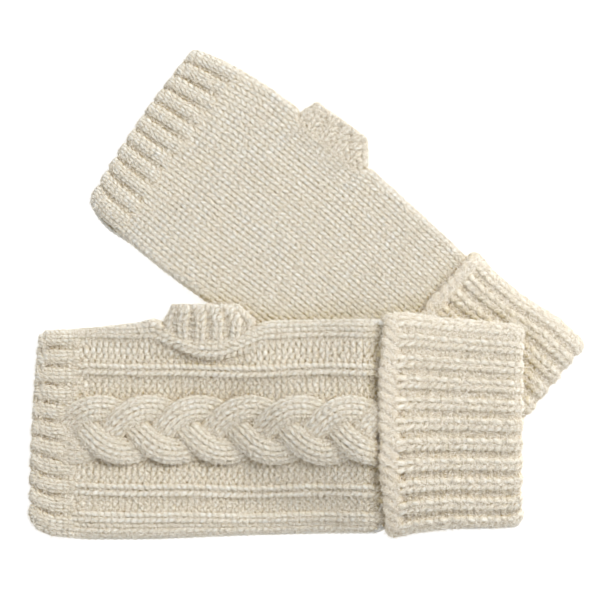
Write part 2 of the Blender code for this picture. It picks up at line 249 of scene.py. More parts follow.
LEFT_THUMB = (
    Row(-4.0, -61.3, -22.1, -23.7, -22.1),
    Row(0.0, -62.3, -18.1, -22.7, -18.1),
    Row(6.1, -62.7, -12.0, -21.9, -12.0),
    Row(13.9, -58.4, -4.2, -30.0, -4.2),
)
RIGHT_HAND = (
    Row(0.0, 7.2, -42.3, 0.1, 36.3),
    Row(2.5, 8.6, -45.1, 2.8, 38.0),
    Row(9.0, 14.0, -46.4, 9.0, 40.2),
    Row(21.0, 24.0, -46.9, 20.0, 42.8),
    square(37.0, -47.4, 45.2),
    square(52.0, -47.4, 45.8),
    square(54.5, -47.3, 43.4),
    square(58.0, -47.2, 42.3),
    square(88.0, -45.3, 42.3),
    square(91.5, -45.2, 43.4),
    square(94.0, -45.1, 45.3),
    square(116.6, -44.8, 44.1),
    square(140.8, -44.5, 42.6),
    square(148.5, -44.4, 41.6),
    square(156.0, -44.5, 41.1),
    square(180.0, -44.1, 40.1),
    square(209.4, -44.3, 42.1),
)
RIGHT_CUFF = (
    Row(151.5, 151.6, -47.6, 151.4, 46.4),
    square(155.6, -48.2, 45.9),
    square(163.6, -48.0, 44.3),
    square(180.0, -47.8, 43.8),
    square(200.0, -48.2, 46.2),
    Row(210.0, 210.0, -48.0, 210.6, 45.4),
)
RIGHT_THUMB = (
    Row(-4.0, 55.1, 38.7, 90.6, 38.7),
    Row(0.0, 54.1, 42.7, 91.6, 42.7),
    Row(2.8, 54.0, 45.4, 91.9, 45.6),
    Row(11.2, 56.8, 53.0, 83.4, 55.0),
)
# Each mitten: its outline, the notch beside the thumb, the ramp up to the cuff's height, the bows of its cuff's and
# finger edges, how far the hand is pinched at the cuff, its ribs, and where it lies
LEFT = Form(name="left", hand=LEFT_HAND, cuff=LEFT_CUFF, thumb=LEFT_THUMB, notch=(-66.0, -17.0), ramp=(5.0, 30.5),
            bow=4.2, finger_bow=1.0, pinch=2.2, rib=Rib(1.35, -1.25, 0.68, 0.8, 19.0),
            cuff_rib=CuffRib((-2.3, -0.45), (0.54, 0.64), 1.7, 0.3, 2.6), thumb_rib=(0.6, -1.2),
            place=(-0.6, 0.75), turn=0.0, drapes=True)
RIGHT = Form(name="right", hand=RIGHT_HAND, cuff=RIGHT_CUFF, thumb=RIGHT_THUMB, notch=(53.0, 93.0),
             ramp=(124.0, 148.5), bow=1.0, finger_bow=1.9, pinch=0.7, rib=Rib(0.9, -1.0, 0.66, 1.3, 23.5),
             cuff_rib=CuffRib((-1.1, -1.1), (0.62, 0.62), 1.3, 0.1, 2.7), thumb_rib=(0.2, -0.3),
             place=(-73.0, 80.35), turn=-39.0, drapes=False)

# The back of the left hand across, from the little finger's side: knit stands up, purl lies low
BACK_ZONES = (
    Zone("knit", None, -95.9, (-0.7, 0.1, 1.0)),
    Zone("purl", -95.9, -88.9, (-0.6, -0.6)),
    Zone("knit", -88.9, -83.2, (1.0,)),
    Zone("purl", -83.2, -74.4, (-0.6, -0.6)),
    Zone("purl", -74.4, -44.4, (-0.8, -0.3, 0.2, 0.4, 0.2, -0.3, -0.8)),
    Zone("purl", -44.4, -35.6, (-0.75, -0.75)),
    Zone("knit", -35.6, -30.4, (1.0,)),
    Zone("purl", -30.4, -18.9, (-0.75, -0.75)),
    Zone("knit", -18.9, None, (0.2, 0.2)),
)
BAND_DIP = 8.0
BAND_DIP_AT = -43.0
BAND_DIP_REACH = 27.0
BAND_SWELL = 1.4
HOLLOW_SINK = 1.3
PICK_UP_SINK = 1.2


def ease(value):
    """0 to 1 with level ends."""
    value = np.clip(value, 0.0, 1.0)
    return value * value * (3.0 - 2.0 * value)


def bell(distance, reach):
    """1 at and inside the edge, sinking to 0 at the reach."""
    share = np.clip(distance / reach, 0.0, 1.0)
    return 0.5 + 0.5 * np.cos(math.pi * share)


def turned(x, y, degrees):
    """A point turned about the origin."""
    turn = math.radians(degrees)
    return x * math.cos(turn) - y * math.sin(turn), x * math.sin(turn) + y * math.cos(turn)


def outside(x, y, low, high):
    """Distance from a point to an upright rectangle, 0 inside it."""
    aside = np.maximum(np.maximum(low[0] - x, x - high[0]), 0.0)
    beyond = np.maximum(np.maximum(low[1] - y, y - high[1]), 0.0)
    return np.hypot(aside, beyond)


def rest_height(x, y):
    """Height of the left mitten's underside over the floor, where it lies on the right one or sinks beside it."""
    along, across = turned(x + LEFT.place[0] - RIGHT.place[0], y + LEFT.place[1] - RIGHT.place[1], -RIGHT.turn)
    on_hand = outside(along, across, (7.2, -47.4), (151.6, 44.6))
    on_cuff = outside(along, across, (151.6, -48.2), (215.6, 44.8))
    hand_part = (REST_ON_HAND * bell(on_hand, HAND_REACH)) ** REST_BLEND
    cuff_part = (REST_ON_CUFF * bell(on_cuff, CUFF_REACH)) ** REST_BLEND
    return (hand_part + cuff_part) ** (1.0 / REST_BLEND)


def mid_height(form, x, y):
    """Height of the slit between the panels."""
    start, end = form.ramp
    height = HAND_HALF + (CUFF_HALF - HAND_HALF) * ease((x - start) / (end - start))
    return height + rest_height(x, y) if form.drapes else height


def at_row(rows, u):
    """Low and high side points of the outline at a distance along it."""
    known = [r.u for r in rows]
    return (np.interp(u, known, [r.low_x for r in rows]), np.interp(u, known, [r.low_y for r in rows]),
            np.interp(u, known, [r.high_x for r in rows]), np.interp(u, known, [r.high_y for r in rows]))


def arc_length(rows, u, half):
    """Length over a panel from side seam to side seam, round both sides."""
    low_x, low_y, high_x, high_y = at_row(rows, u)
    return np.hypot(high_x - low_x, high_y - low_y) + (math.pi - 2.0) * half


def over_section(rows, u, arc, lift, half):
    """Point at an arc length over a section, raised off the wall by the lift: x, y and height over the slit."""
    low_x, low_y, high_x, high_y = at_row(rows, u)
    width = np.hypot(high_x - low_x, high_y - low_y)
    total = width + (math.pi - 2.0) * half
    quarter = math.pi / 2.0 * half
    near = np.clip(arc / half, 0.0, math.pi / 2.0)
    far = np.clip((total - arc) / half, 0.0, math.pi / 2.0)
    flat = half + arc - quarter
    off = np.where(arc < quarter, half * (1.0 - np.cos(near)),
                   np.where(total - arc < quarter, width - half * (1.0 - np.cos(far)), flat))
    rise = np.sin(near) * np.sin(far)
    lean = np.cos(far) - np.cos(near)
    share = (off + lift * lean) / width
    x = low_x + (high_x - low_x) * share
    y = low_y + (high_y - low_y) * share
    return x, y, SEAM_GAP / 2 + (half - SEAM_GAP / 2 + lift) * rise


def placed(form, x, y, z):
    """Points in the shared frame, in metres. Wool that would sink into the ground lies flattened on it."""
    x, y = turned(x, y, form.turn)
    low = REST_LOW + (REST_SOFT - REST_LOW) * np.exp(np.minimum(z - REST_SOFT, 0.0) / (REST_SOFT - REST_LOW))
    z = np.where(z < REST_SOFT, low, z)
    return np.stack([x + form.place[0], y + form.place[1], z], axis=-1) * MM


def tucked(form, u):
    """How far a hand panel sinks in towards the cuff's edge."""
    return form.pinch * ease((u - form.cuff[0].u + CUFF_PINCH_REACH) / CUFF_PINCH_REACH)


def panel_surface(form, rows, side):
    """Surface of a panel as a function of distance along, arc across and lift. It rolls over at its ends."""
    first, last = rows[0].u, rows[-1].u

    def surface(u, arc, lift):
        inside = np.clip(u, first + OPENING_ROLL, last - OPENING_ROLL)
        x, y, tall = over_section(rows, inside, arc, lift, HAND_HALF)
        if rows is form.hand:
            low_x, low_y, high_x, high_y = at_row(rows, inside)
            share = np.clip((y - low_y) / (high_y - low_y), 0.0, 1.0)
            x = x - form.finger_bow * 4.0 * share * (1.0 - share) * bell(np.abs(u - first), FINGER_BOW_REACH)
            tall = tall - tucked(form, u)
            if form is RIGHT and side < 0:
                y = y - BACK_PEEK * (1.0 - share) ** 2 * bell(np.abs(u - first - BACK_PEEK_AT), BACK_PEEK_REACH)
        before = u < inside
        roll = np.clip((u - inside) / OPENING_ROLL, -ROLL_MOST, ROLL_MOST)
        reach = np.maximum(OPENING_ROLL + lift, ROLL_LEAST_RADIUS)
        ends = at_row(rows, inside), at_row(rows, inside + np.where(before, 0.5, -0.5))
        step_x = (ends[1][0] + ends[1][2] - ends[0][0] - ends[0][2]) * np.where(before, 1.0, -1.0)
        step_y = (ends[1][1] + ends[1][3] - ends[0][1] - ends[0][3]) * np.where(before, 1.0, -1.0)
        if rows is form.hand:
            step_y = step_y * 0.0
        size = np.hypot(step_x, step_y) + 1e-9
        x = x + reach * np.sin(roll) * step_x / size
        y = y + reach * np.sin(roll) * step_y / size
        tall = tall - reach * (1.0 - np.cos(roll))
        return placed(form, x, y, mid_height(form, x, y) + side * tall)
    return surface


def cuff_bulge(form, x, y):
    """How far the plait under it pushes the cuff's edge up."""
    if form is not LEFT:
        return 0.0
    over_plait = CUFF_BULGE + PLAIT_BULGE * bell(np.abs(y - PLAIT_CENTRE), BULGE_REACH)
    return over_plait * bell(np.abs(x - form.cuff[0].u), BULGE_REACH)


def cuff_surface(form, side):
    """Surface of the turned-up cuff, which rolls over its fold at the wrist past the last row."""
    fold = form.cuff[-1].u

    def surface(u, arc, lift):
        x, y, tall = over_section(form.cuff, np.minimum(u, fold), arc, lift, CUFF_HALF)
        low_x, low_y, high_x, high_y = at_row(form.cuff, np.minimum(u, fold))
        share = np.clip((y - low_y) / (high_y - low_y), 0.0, 1.0)
        fade = np.clip(1.0 - (u - form.cuff[0].u) / CUFF_BOW_REACH, 0.0, 1.0)
        x = x - form.bow * 4.0 * share * (1.0 - share) * fade
        roll = np.clip((u - fold) / NOSE_LENGTH, 0.0, math.pi / 2.0)
        if side > 0:
            off = 2.0 * share - 1.0
            tall = tall + cuff_bulge(form, x, y) - CUFF_PILLOW * off ** 4
            tall = tall - CUFF_SLOPE * np.clip(-off, 0.0, 1.0) ** 2
        height = mid_height(form, x, y) + side * tall * np.cos(roll)
        middle = (low_y + high_y) / 2.0
        narrow = 1.0 - np.where(y < middle, FOLD_TAPER_LOW, FOLD_TAPER_HIGH) * (1.0 - np.cos(roll))
        y = middle + (y - middle) * narrow
        return placed(form, x + (NOSE_LENGTH + lift) * np.sin(roll), y, height)
    return surface


def blend_steps(values, shoulder):
    """A line through per-wale values, level over each wale's middle, for reading at any place across."""
    places, heights = [], []
    for wale, value in enumerate(values):
        places += [wale + shoulder, wale + 1.0 - shoulder]
        heights += [value, value]
    return places, heights


class Chart:
    """Wales of one knitted piece across: which are knit or purl, how high they stand and where they lie.

    Bands follow one another along the piece, each with as many wales as the others.
    """

    def __init__(self, bands, edges, swell=None, blend=3.0):
        self.bands = bands
        self.blend = blend
        self.edges = edges
        self.swell = swell
        self.count = len(bands[0].kinds)

    def band(self, start):
        """The band that a course lies in."""
        return [b for b in self.bands if b.start <= start or b is self.bands[0]][-1]

    def signs(self, starts, across):
        """1 over knit wales and -1 over purl ones, for each course."""
        return np.stack([np.interp(across, *blend_steps(self.band(s).kinds, KIND_SHOULDER)) for s in starts])

    def rises(self, along, across):
        """Height of the fabric over its mean, for each distance along and places across."""
        lines = [np.interp(across, *blend_steps(b.rises, b.shoulder)) for b in self.bands]
        height = np.repeat(lines[0][None, :], len(along), axis=0)
        for band, line in zip(self.bands[1:], lines[1:]):
            share = ease((np.asarray(along) - band.start) / self.blend + 0.5)[:, None]
            height = height * (1.0 - share) + line[None, :] * share
        if self.swell:
            height = height + self.swell(np.asarray(along)[:, None], np.asarray(across)[None, :])
        return height

    def arcs(self, along, across):
        """Arc over the section of places across, for each distance along."""
        known = np.arange(self.count + 1)
        return np.stack([np.interp(a, known, e) for a, e in zip(across, self.edges(np.asarray(along)))])


def rib_wales(wales, rise, sinks):
    """Kinds and rises of knit one, purl one, with one sink for the purl wales at each side."""
    knits = [wale % 2 == 0 for wale in range(wales)]
    kinds = [1.0 if knit_wale else -1.0 for knit_wale in knits]
    return kinds, [rise if knit_wale else sink for knit_wale, sink in zip(knits, np.linspace(*sinks, wales))]


def rib_widths(wales, knit_shares):
    """Widths of the wales of knit one, purl one, with one share for the knit ones at each side."""
    return [share if wale % 2 == 0 else 1.0 - share for wale, share in enumerate(np.linspace(*knit_shares, wales))]


def even_edges(rows, half, widths, notch=None):
    """Wales side by side in proportion to the given widths.

    Beside the thumb the outline is notched: the last wales take up the notch, and the others run on straight.
    """
    places = np.concatenate([[0.0], np.cumsum(widths)]) / np.sum(widths)
    free = [r for r in rows if not (notch and notch[0] < r.u < notch[1])]

    def edges(u):
        lines = arc_length(free, u, half)[:, None] * places[None, :]
        end = arc_length(rows, u, half)[:, None]
        edge = places[-1 - NOTCH_WALES]
        share = np.clip((places[None, :] - edge) / (1.0 - edge), 0.0, 1.0)
        return lines + share * (end - lines[:, -1:])
    return edges


def back_chart(form):
    """The back of the left hand: finger rib, then its bands, ridges and purl valleys."""
    kinds, rises = [], []
    for zone in BACK_ZONES:
        kinds += [1.0 if zone.kind == "knit" else -1.0] * len(zone.rises)
        rises += zone.rises
    wales = len(kinds)
    ribbed = even_edges(form.hand, HAND_HALF, [1.0] * wales, form.notch)
    change = form.hand[0].u + form.rib.length

    def edges(u):
        total = arc_length(form.hand, u, HAND_HALF)
        low_y = at_row(form.hand, u)[1]
        dip = BAND_DIP * bell(np.abs(u - BAND_DIP_AT), BAND_DIP_REACH)
        wave = sum(size * np.sin(u / reach + start) for size, reach, start in ZONE_WAVES)
        lines = [np.zeros(len(u))]
        for zone in BACK_ZONES:
            if zone.high_edge is None:
                end = total
            else:
                end = zone.high_edge + wave - low_y + (math.pi / 2.0 - 1.0) * HAND_HALF
                if zone.high_edge == BACK_ZONES[-1].low_edge:
                    end = end - dip
            start = lines[-1]
            for step in range(1, len(zone.rises) + 1):
                lines.append(start + (end - start) * step / len(zone.rises))
        share = ease((u - change) / ZONE_FADE + 0.6)[:, None]
        return ribbed(u) * (1.0 - share) + np.stack(lines, axis=-1) * share

    def swell(u, across):
        """The band that swells beside the thumb, the hollow next to it and the line where the thumb is picked up."""
        beside = bell(np.abs(u - BAND_DIP_AT), BAND_DIP_REACH)
        band = ease((across - wales + 2.6) / 0.8) * ease((wales - 0.3 - across) / 0.8)
        hollow = ease((across - wales + 5.0) / 1.5) * (1.0 - ease((across - wales + 2.6) / 0.8))
        pick_up = bell(np.abs(across - wales + 1.0), 0.4) * ease(4.0 * beside - 2.2)
        return beside * (BAND_SWELL * band - HOLLOW_SINK * hollow) - PICK_UP_SINK * pick_up
    bands = [Band(form.hand[0].u - BAND_LEAD, kinds, [0.0] * wales, PLAIN_SHOULDER),
             Band(change + 3.0, kinds, rises, PLAIN_SHOULDER)]
    return Chart(bands, edges, swell, blend=RIDGE_FADE)


def opening_chart(form):
    """Finger rib of knit two, purl one, where the knit wales round into one ridge. It levels out at its length."""
    rib, start = form.rib, form.hand[0].u
    kinds, rises, widths = [1.0], [0.0], [SIDE_WALE]
    for _ in range(FINGER_RIDGES):
        kinds += [1.0, 1.0, -1.0]
        rises += [rib.rise, rib.rise, rib.sink]
        widths += [rib.knit_share / 2.0] * 2 + [1.0 - rib.knit_share]
    kinds[-1], rises[-1] = 1.0, 0.0
    bands = [Band(start - BAND_LEAD, kinds, rises, RIB_SHOULDER),
             Band(start + rib.length - RIB_FADE / 2.0 + 1.0, kinds, [0.0] * len(kinds), RIB_SHOULDER)]
    return Chart(bands, even_edges(form.hand, HAND_HALF, widths, form.notch), blend=RIB_FADE)


def palm_chart(form):
    """Plain stockinette."""
    bands = [Band(form.hand[0].u - BAND_LEAD, [1.0] * PALM_WALES, [0.0] * PALM_WALES, PLAIN_SHOULDER)]
    return Chart(bands, even_edges(form.hand, HAND_HALF, [1.0] * PALM_WALES, form.notch))


def ribbed_chart(rows, half, wales, rise, sinks, knit_shares, shoulder=PLAIN_SHOULDER, round_sides=False):
    """Knit one, purl one, all along. Round sides have one more knit wale each, level with the side."""
    kinds, rises = rib_wales(wales, rise, sinks)
    widths = rib_widths(wales, knit_shares)
    if round_sides:
        kinds, rises, widths = [1.0, *kinds, 1.0], [0.0, *rises, 0.0], [0.5, 0.5, *widths[1:-1], 0.5, 0.5]
    else:
        rises[0] = rises[-1] = 0.0
    return Chart([Band(rows[0].u - BAND_LEAD, kinds, rises, shoulder)], even_edges(rows, half, widths))


def loop_line(count, points):
    """One course of loops: places across in wales, along in loop heights, and out of the fabric."""
    turn = np.arange(count * points + 1) * 2.0 * math.pi / points
    return turn / (2.0 * math.pi), np.sin(2.0 * turn), -np.cos(turn) / 2.0, -np.cos(2.0 * turn)


def knit(surface, chart, starts, course, rng, towards=-1.0, points=LOOP_POINTS, deep=LOOP_DEEP, lean=LOOP_LEAN,
         radius=YARN_RADIUS, scallop=0.0, tuck=0.0):
    """Centre lines of the courses of a piece, one for each start, as rows of points."""
    steady, leaning, along, out = loop_line(chart.count, points)
    starts = np.asarray(starts)
    stitch = np.clip(steady.astype(int), 0, chart.count - 1)
    size = (len(starts), chart.count)
    over_stitch = np.sin(math.pi * (steady % 1.0))[None, :]
    lean_of = (lean + rng.normal(0.0, LEAN_VARIES, size))[:, stitch]
    shift_of = rng.normal(0.0, SHIFT_VARIES, size)[:, stitch] * over_stitch
    tall_of = rng.normal(0.0, TALL_VARIES, size)[:, stitch]
    lift_of = rng.normal(0.0, LIFT_VARIES, size)[:, stitch] * over_stitch
    across = np.clip(steady[None, :] + lean_of * leaning[None, :], 0.0, chart.count)
    sign = chart.signs(starts, steady)
    tall_of = tall_of + np.where(sign < 0.0, PURL_TALL, LOOP_TALL)
    u = starts[:, None] + towards * (along[None, :] * tall_of + shift_of) * course
    u = u + towards * scallop * sign * bell(np.abs(starts[:, None] - starts[0]), SCALLOP_REACH)
    deeper = deep * np.where(sign < 0.0, PURL_DEEPER, 1.0)
    lift = chart.rises(starts, steady) + lift_of + deeper * sign * out[None, :] - radius
    upper_leg = np.clip(-np.sin(2.0 * math.pi * steady), 0.0, 1.0)[None, :] * (sign > 0.0)
    lift = lift + tuck * upper_leg * np.where(np.arange(len(starts)) % 2, -1.0, 1.0)[:, None]
    return surface(u, chart.arcs(starts, across), lift)


def strand_centre(strand, u):
    """Side to side place, slope and lift of one strand of the plait, and how far it stands out of the fabric."""
    phase = 2.0 * math.pi * ((u - PLAIT_START) / PLAIT_PERIOD + strand / 3.0 + PLAIT_PHASE)
    begins = (ease((u - PLAIT_START + PLAIT_RISES) / PLAIT_RISE_REACH)
              * ease((PLAIT_END + PLAIT_LAPS_UNDER_CUFF - u) / PLAIT_SINK_REACH))
    swing = np.tanh(PLAIT_DWELL * np.sin(phase)) / math.tanh(PLAIT_DWELL)
    steep = PLAIT_DWELL * (1.0 - np.tanh(PLAIT_DWELL * np.sin(phase)) ** 2) * np.cos(phase)
    slope = PLAIT_SWING * steep / math.tanh(PLAIT_DWELL) * 2.0 * math.pi / PLAIT_PERIOD
    raised = begins * (STRAND_LIFT + STRAND_WEAVE * np.sin(2.0 * phase)) - (1.0 - begins) * STRAND_BURIED
    return PLAIT_CENTRE + PLAIT_SWING * swing, slope, raised, begins


def strand_surface(strand):
    """Rounded top of one strand, as a function of distance along, arc across and lift."""
    def surface(u, arc, lift):
        centre, slope, raised, begins = strand_centre(strand, u)
        turn = arc / STRAND_HALF
        stretch = 1.0 / np.sqrt(1.0 + slope * slope)
        off = (STRAND_HALF + lift) * np.sin(turn)
        dome = (STRAND_DEPTH * begins + lift) * np.cos(turn)
        x = u - off * slope * stretch * STRAND_LEAN
        y = centre + off * stretch * (1.0 + STRAND_WIDENS * slope * slope)
        z = mid_height(LEFT, x, y) + HAND_HALF - tucked(LEFT, u) + raised + dome
        return placed(LEFT, x, y, z)
    return surface


def strand_chart():
    """Knit wales over a strand, from side to side."""
    reach = math.radians(STRAND_REACH_DEGREES) * STRAND_HALF

    def edges(u):
        return np.repeat(np.linspace(-reach, reach, STRAND_WALES + 1)[None, :], len(u), axis=0)
    return Chart([Band(PLAIT_START, [1.0] * STRAND_WALES, [0.0] * STRAND_WALES, PLAIN_SHOULDER)], edges)


def strand_core(surface):
    """Lines along a strand that fill it out under its loops."""
    u = np.arange(PLAIT_START, PLAIT_END, COURSE)
    arcs = np.linspace(-1.0, 1.0, 2 * STRAND_WALES - 1) * STRAND_HALF
    return np.stack([surface(u, np.full(len(u), arc), np.full(len(u), STRAND_CORE_LIFT)) for arc in arcs])


def add(tree, kind, inputs=None, **settings):
    """Adds a node with its settings, and links or sets its inputs."""
    made = tree.nodes.new(kind)
    for name, value in settings.items():
        setattr(made, name, value)
    for name, value in (inputs or {}).items():
        if isinstance(value, bpy.types.NodeSocket):
            tree.links.new(value, made.inputs[name])
        else:
            made.inputs[name].default_value = value
    return made


def put(name, data):
    """An object in the scene."""
    made = bpy.data.objects.new(name, data)
    bpy.context.scene.collection.objects.link(made)
    return made


def blank_tree(name, inputs, output):
    """A Geometry Nodes tree with named inputs, and the sockets that give them."""
    tree = bpy.data.node_groups.new(name, "GeometryNodeTree")
    for label, kind in inputs:
        tree.interface.new_socket(label, in_out="INPUT", socket_type="NodeSocket" + kind)
    tree.interface.new_socket(output, in_out="OUTPUT", socket_type="NodeSocketGeometry")
    return tree, add(tree, "NodeGroupInput").outputs


def yarn_tree():
    """Turns centre lines into yarn of a given radius, marked with how far along and which way round it is."""
    inputs = ("Lines", "Geometry"), ("Yarn radius", "Float"), ("Sides", "Int"), ("Wool", "Material")
    tree, given = blank_tree("yarn along lines", inputs, "Yarn")
    curve = add(tree, "GeometryNodeMeshToCurve", {"Mesh": given["Lines"]})
    length = add(tree, "GeometryNodeSplineParameter")
    marked = add(tree, "GeometryNodeStoreNamedAttribute",
                 {"Geometry": curve.outputs[0], "Name": "along", "Value": length.outputs["Length"]},
                 data_type="FLOAT", domain="POINT")
    ring = add(tree, "GeometryNodeCurvePrimitiveCircle",
               {"Resolution": given["Sides"], "Radius": given["Yarn radius"]})
    place = add(tree, "GeometryNodeInputPosition")
    ringed = add(tree, "GeometryNodeStoreNamedAttribute",
                 {"Geometry": ring.outputs[0], "Name": "around", "Value": place.outputs[0]},
                 data_type="FLOAT_VECTOR", domain="POINT")
    tube = add(tree, "GeometryNodeCurveToMesh",
               {"Curve": marked.outputs[0], "Profile Curve": ringed.outputs[0], "Fill Caps": True})
    smooth = add(tree, "GeometryNodeSetShadeSmooth", {"Geometry": tube.outputs[0], "Shade Smooth": True})
    real = add(tree, "GeometryNodeRealizeInstances", {"Geometry": smooth.outputs[0]})
    woolly = add(tree, "GeometryNodeSetMaterial", {"Geometry": real.outputs[0], "Material": given["Wool"]})
    add(tree, "NodeGroupOutput", {"Yarn": woolly.outputs[0]})
    return tree


def fuzz_tree():
    """Scatters short loose fibres over the yarn, as slivers that lie on it at every angle."""
    inputs = (("Yarn", "Geometry"), ("Fibres per square metre", "Float"), ("Fibre length", "Float"),
              ("Fibre width", "Float"), ("Fibre rise", "Float"), ("Seed", "Int"), ("Wool", "Material"))
    tree, given = blank_tree("loose fibres over yarn", inputs, "Fibres")
    normal = add(tree, "GeometryNodeInputNormal")
    parts = add(tree, "ShaderNodeSeparateXYZ", {"Vector": normal.outputs[0]})
    upper = add(tree, "FunctionNodeCompare", {"A": parts.outputs["Z"], "B": -0.1}, operation="GREATER_THAN")
    spread = add(tree, "GeometryNodeDistributePointsOnFaces",
                 {"Mesh": given["Yarn"], "Selection": upper.outputs[0], "Density": given["Fibres per square metre"],
                  "Seed": given["Seed"]})
    corner = add(tree, "GeometryNodeMeshCircle", {"Vertices": 3, "Radius": 1.0}, fill_type="NGON")
    long = add(tree, "ShaderNodeMath", {0: given["Fibre length"], 1: 1.5}, operation="DIVIDE")
    wide = add(tree, "ShaderNodeMath", {0: given["Fibre width"], 1: math.sqrt(3.0)}, operation="DIVIDE")
    scale = add(tree, "ShaderNodeCombineXYZ", {"X": long.outputs[0], "Y": wide.outputs[0], "Z": 1.0})
    above = add(tree, "ShaderNodeCombineXYZ", {"Z": given["Fibre rise"]})
    fibre = add(tree, "GeometryNodeTransform",
                {"Geometry": corner.outputs[0], "Translation": above.outputs[0], "Scale": scale.outputs[0]})
    tilt = add(tree, "FunctionNodeRandomValue",
               {0: (-0.5, -0.35, 0.0), 1: (0.5, 0.35, 2.0 * math.pi), "Seed": given["Seed"]},
               data_type="FLOAT_VECTOR")
    turn = add(tree, "FunctionNodeRotateRotation",
               {"Rotation": spread.outputs["Rotation"], "Rotate By": tilt.outputs[0]}, rotation_space="LOCAL")
    size = add(tree, "FunctionNodeRandomValue", {2: 0.5, 3: 1.4, "Seed": given["Seed"]}, data_type="FLOAT")
    laid = add(tree, "GeometryNodeInstanceOnPoints",
               {"Points": spread.outputs["Points"], "Instance": fibre.outputs[0],
                "Rotation": turn.outputs[0], "Scale": size.outputs[1]})
    real = add(tree, "GeometryNodeRealizeInstances", {"Geometry": laid.outputs[0]})
    woolly = add(tree, "GeometryNodeSetMaterial", {"Geometry": real.outputs[0], "Material": given["Wool"]})
    add(tree, "NodeGroupOutput", {"Fibres": woolly.outputs[0]})
    return tree


def line_mesh(name, groups):
    """A mesh of bare lines from groups of equally long rows of points. A point that isn't a number is left out."""
    points, edges, first = [], [], 0
    for rows in groups:
        count, length = rows.shape[:2]
        points.append(rows.reshape(-1, 3))
        index = first + np.arange(count * length).reshape(count, length)
        edges.append(np.stack([index[:, :-1].ravel(), index[:, 1:].ravel()], axis=-1))
        first += count * length
    points = np.concatenate(points)
    edges = np.concatenate(edges)
    kept = np.isfinite(points[:, 0])
    edges = edges[kept[edges].all(axis=1)]
    used = np.unique(edges)
    renamed = np.zeros(len(points), dtype=int)
    renamed[used] = np.arange(len(used))
    mesh = bpy.data.meshes.new(name)
    mesh.vertices.add(len(used))
    mesh.vertices.foreach_set("co", points[used].ravel())
    mesh.edges.add(len(edges))
    mesh.edges.foreach_set("vertices", renamed[edges].ravel())
    return mesh


def bared(form, points, first_kept=0, last_kept=0):
    """Centre lines without their stretches that are out of sight.

    The upper side of the right mitten is hidden where the left one lies on it. The undersides only show near their
    edges, so they keep a few wales at each side and a few courses at the opening or the fold.
    """
    shown = points.copy()
    if first_kept:
        aside = points.shape[1] // 7
        shown[first_kept:len(points) - last_kept, aside:-aside] = np.nan
    elif form is RIGHT:
        x = points[..., 0] / MM - LEFT.place[0]
        y = points[..., 1] / MM - LEFT.place[1]
        shown[(x > -108.0) & (x < 83.0) & (y > -95.0) & (y < -21.0)] = np.nan
    return shown


def grown(name, mesh, tree, values, material):
    """What a Geometry Nodes tree makes of a mesh, as a plain mesh object that nowhere sinks into the ground."""
    source = put(name + "_source", mesh)
    modifier = source.modifiers.new("grow", "NODES")
    modifier.node_group = tree
    for item in tree.interface.items_tree:
        if item.in_out == "INPUT" and item.name in values:
            modifier[item.identifier] = values[item.name]
    graph = bpy.context.evaluated_depsgraph_get()
    made = bpy.data.meshes.new_from_object(source.evaluated_get(graph), depsgraph=graph)
    bpy.data.objects.remove(source)
    made.name = name
    places = np.empty(len(made.vertices) * 3)
    made.vertices.foreach_get("co", places)
    places[2::3] = np.maximum(places[2::3], FLOOR_TOUCH)
    made.vertices.foreach_set("co", places)
    if not made.materials:
        made.materials.append(material)
    return put(name, made)


def spun(name, groups, material, radius=YARN_RADIUS, sides=YARN_SIDES):
    """A piece of yarn along groups of centre lines."""
    values = {"Yarn radius": radius * MM, "Sides": sides, "Wool": material}
    return grown(name, line_mesh(name + "_lines", groups), YARN_TREE, values, material)


def fuzzed(yarn, density, seed):
    """Loose fibres over a piece of yarn."""
    values = {"Fibres per square metre": density * 1.0e6, "Fibre length": FIBRE_LENGTH * MM,
              "Fibre width": FIBRE_WIDTH * MM, "Fibre rise": FIBRE_RISE * MM, "Seed": seed, "Wool": FUZZ}
    return grown(yarn.name.replace("_yarn", "_fuzz"), yarn.data, FUZZ_TREE, values, FUZZ)


def shell(name, outer, inner, material):
    """A closed thin cloth shell between two grids of points of the same size."""
    rows, columns = outer.shape[:2]
    points = np.concatenate([outer.reshape(-1, 3), inner.reshape(-1, 3)])
    count = rows * columns
    index = np.arange(count).reshape(rows, columns)
    a, b, c, d = index[:-1, :-1], index[:-1, 1:], index[1:, 1:], index[1:, :-1]
    faces = np.stack([a, b, c, d], axis=-1).reshape(-1, 4)
    under = np.stack([d, c, b, a], axis=-1).reshape(-1, 4) + count
    rim = np.concatenate([index[0, :], index[1:, -1], index[-1, -2::-1], index[-2:0:-1, 0]])
    after = np.roll(rim, -1)
    sides = np.stack([after, rim, rim + count, after + count], axis=-1)
    mesh = bpy.data.meshes.new(name)
    mesh.from_pydata(points.tolist(), [], np.concatenate([faces, under, sides]).tolist())
    mesh.materials.append(material)
    flip_out(mesh)
    mesh.shade_smooth()
    return put(name, mesh)


def flip_out(mesh):
    """Turns a closed mesh's faces so that they point outwards."""
    body = bmesh.new()
    body.from_mesh(mesh)
    bmesh.ops.recalc_face_normals(body, faces=body.faces)
    if body.calc_volume(signed=True) < 0.0:
        bmesh.ops.reverse_faces(body, faces=body.faces)
    body.to_mesh(mesh)
    body.free()


def linear(code):
    """An sRGB hex colour as linear red, green, blue and alpha."""
    values = [int(code[i:i + 2], 16) / 255.0 for i in (1, 3, 5)]
    return tuple(v / 12.92 if v <= 0.04045 else ((v + 0.055) / 1.055) ** 2.4 for v in values) + (1.0,)


